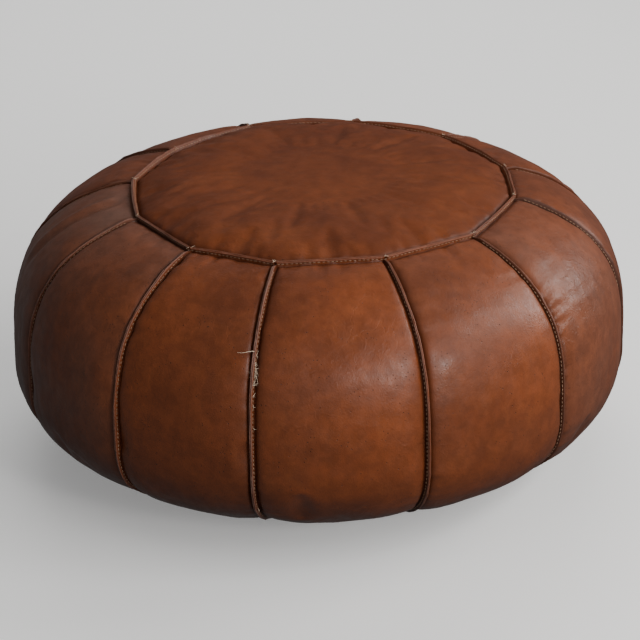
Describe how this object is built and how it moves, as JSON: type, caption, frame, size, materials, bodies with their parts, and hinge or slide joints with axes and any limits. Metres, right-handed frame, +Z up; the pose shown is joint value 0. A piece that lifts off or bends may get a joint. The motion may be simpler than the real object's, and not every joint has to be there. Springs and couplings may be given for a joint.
{
  "type": "leather pouf",
  "caption": "Round low leather pouf of sewn side gores between a twelve-sided top panel and a zipped base of two half-moons, packed with soft filling, used as a footrest or floor seat.",
  "frame": {"origin": "on the floor, under the middle of the base", "axes": "+Z up; -Y is the front, where the frayed seam is, just left of the middle; the base zip runs along X and closes towards +X"},
  "size_m": [0.7092, 0.7095, 0.33],
  "materials": {
    "top_leather": "waxed, satin, aged",
    "side_leather": "waxed, satin gloss, mottled and aged",
    "base_leather": "matt, worn",
    "filling": "matt wadding",
    "zip_cloth": "woven tape",
    "zip_teeth": "moulded nylon",
    "zip_metal": "aged brass",
    "thread": "waxed cotton thread"
  },
  "bodies": {
    "cover": {"top_panel": "top_leather", "side_panel_01": "side_leather", "side_panel_02": "side_leather", "side_panel_03": "side_leather", "side_panel_04": "side_leather", "side_panel_05": "side_leather", "side_panel_06": "side_leather", "side_panel_07": "side_leather", "side_panel_08": "side_leather", "side_panel_09": "side_leather", "side_panel_10": "side_leather", "side_panel_11": "side_leather", "side_panel_12": "side_leather", "base_panel_front": "base_leather", "base_panel_back": "base_leather", "stuffing": "filling", "zip_tape_front": "zip_cloth", "zip_chain_front": "zip_teeth", "zip_top_stop_front": "zip_metal", "zip_tape_back": "zip_cloth", "zip_chain_back": "zip_teeth", "zip_top_stop_back": "zip_metal", "zip_bottom_stop": "zip_metal"},
    "zip_slider": {"zip_slider": "zip_metal"},
    "zip_pull": {"zip_pull_tab": "zip_metal"}
  },
  "joints": [
    {"name": "zip_slide", "type": "slide", "parent": "cover", "child": "zip_slider", "axis": [-1, 0, 0], "range_m": [0, 0.29]},
    {"name": "pull_swing", "type": "hinge", "parent": "zip_slider", "child": "zip_pull", "pos_m": [0.146, 0, 0.01165], "axis": [0, -1, 0], "range_deg": [-20, 150]}
  ]
}
